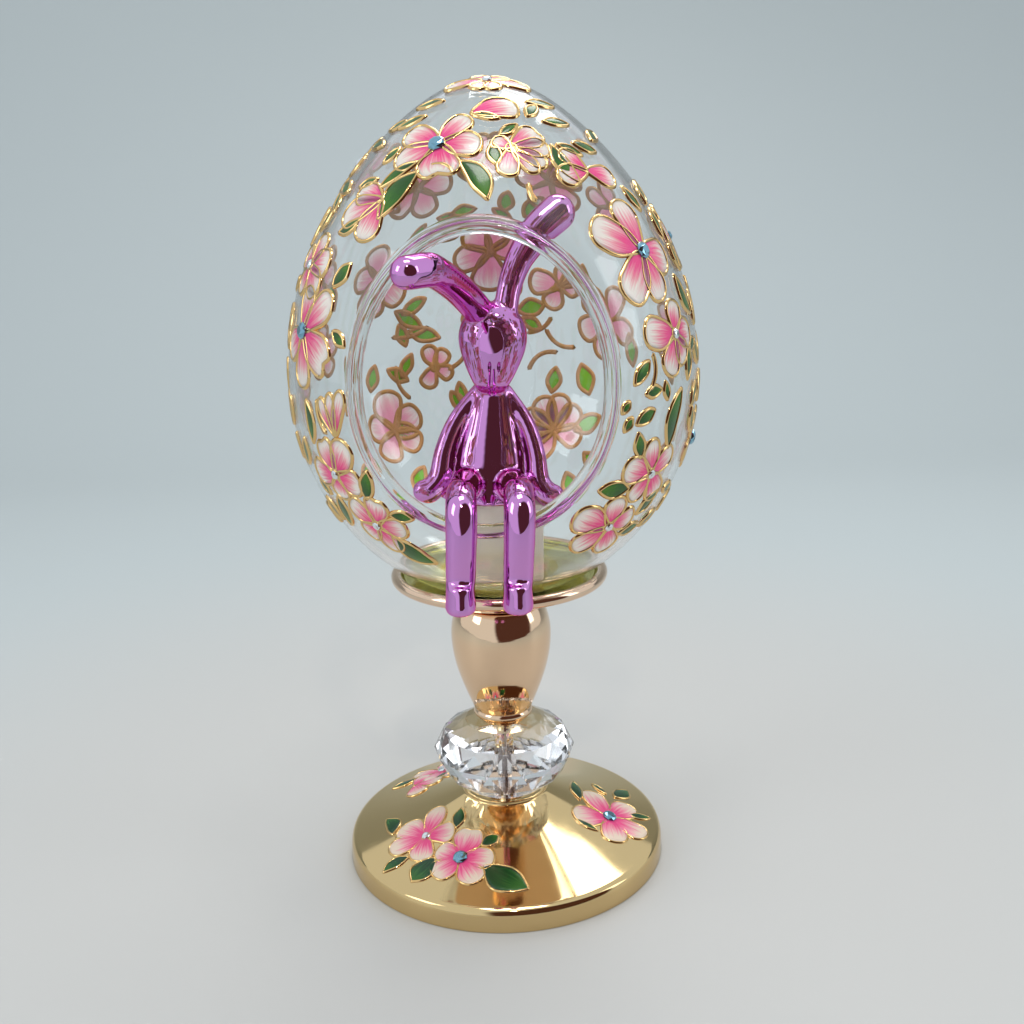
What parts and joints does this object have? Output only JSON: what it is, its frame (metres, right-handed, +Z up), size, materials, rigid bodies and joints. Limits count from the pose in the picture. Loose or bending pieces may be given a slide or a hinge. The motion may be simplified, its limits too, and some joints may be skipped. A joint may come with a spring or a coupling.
{
  "type": "glass egg on stand",
  "caption": "Clear glass egg with a round opening and raised blossom sprays on a turned, plated stand with a crystal ball, with a plated rabbit sitting in the opening.",
  "frame": {"origin": "middle of the base's underside", "axes": "+Z up the stem, and the egg's opening and the rabbit's face towards -Y"},
  "size_m": [0.1211, 0.1264, 0.2404],
  "materials": {
    "base_plating": "polished gold plating on cast metal",
    "rod": "plain steel rod",
    "crystal": "cut and polished clear crystal",
    "stem_plating": "polished rose-gold plating on cast metal",
    "dish_plating": "polished gold plating on pressed metal",
    "egg_glass": "blown clear glass",
    "seat_resin": "frosted translucent resin",
    "rabbit_plating": "tinted mirror plating",
    "stone": "foil-backed cut glass"
  },
  "bodies": {
    "root": {"base": "base_plating", "stem_rod": "rod", "crystal_ball": "crystal", "baluster": "stem_plating", "dish": "dish_plating", "egg_shell": "egg_glass", "seat_block": "seat_resin", "rabbit": "rabbit_plating", "egg_stone_crown_front": "stone", "egg_stone_crown_tip": "stone", "egg_stone_right_upper": "stone", "egg_stone_right_middle": "stone", "egg_stone_right_edge": "stone", "egg_stone_right_back": "stone", "egg_stone_right_lower": "stone", "egg_stone_right_bottom": "stone", "egg_stone_left_upper": "stone", "egg_stone_left_middle": "stone", "egg_stone_left_edge": "stone", "egg_stone_left_lower": "stone", "egg_stone_left_bottom": "stone", "egg_stone_left_crown": "stone", "egg_stone_back_upper": "stone", "egg_stone_back_right_low": "stone", "base_stone_front_left": "stone", "base_stone_front": "stone", "base_stone_right": "stone", "base_stone_back_left": "stone"}
  },
  "joints": []
}
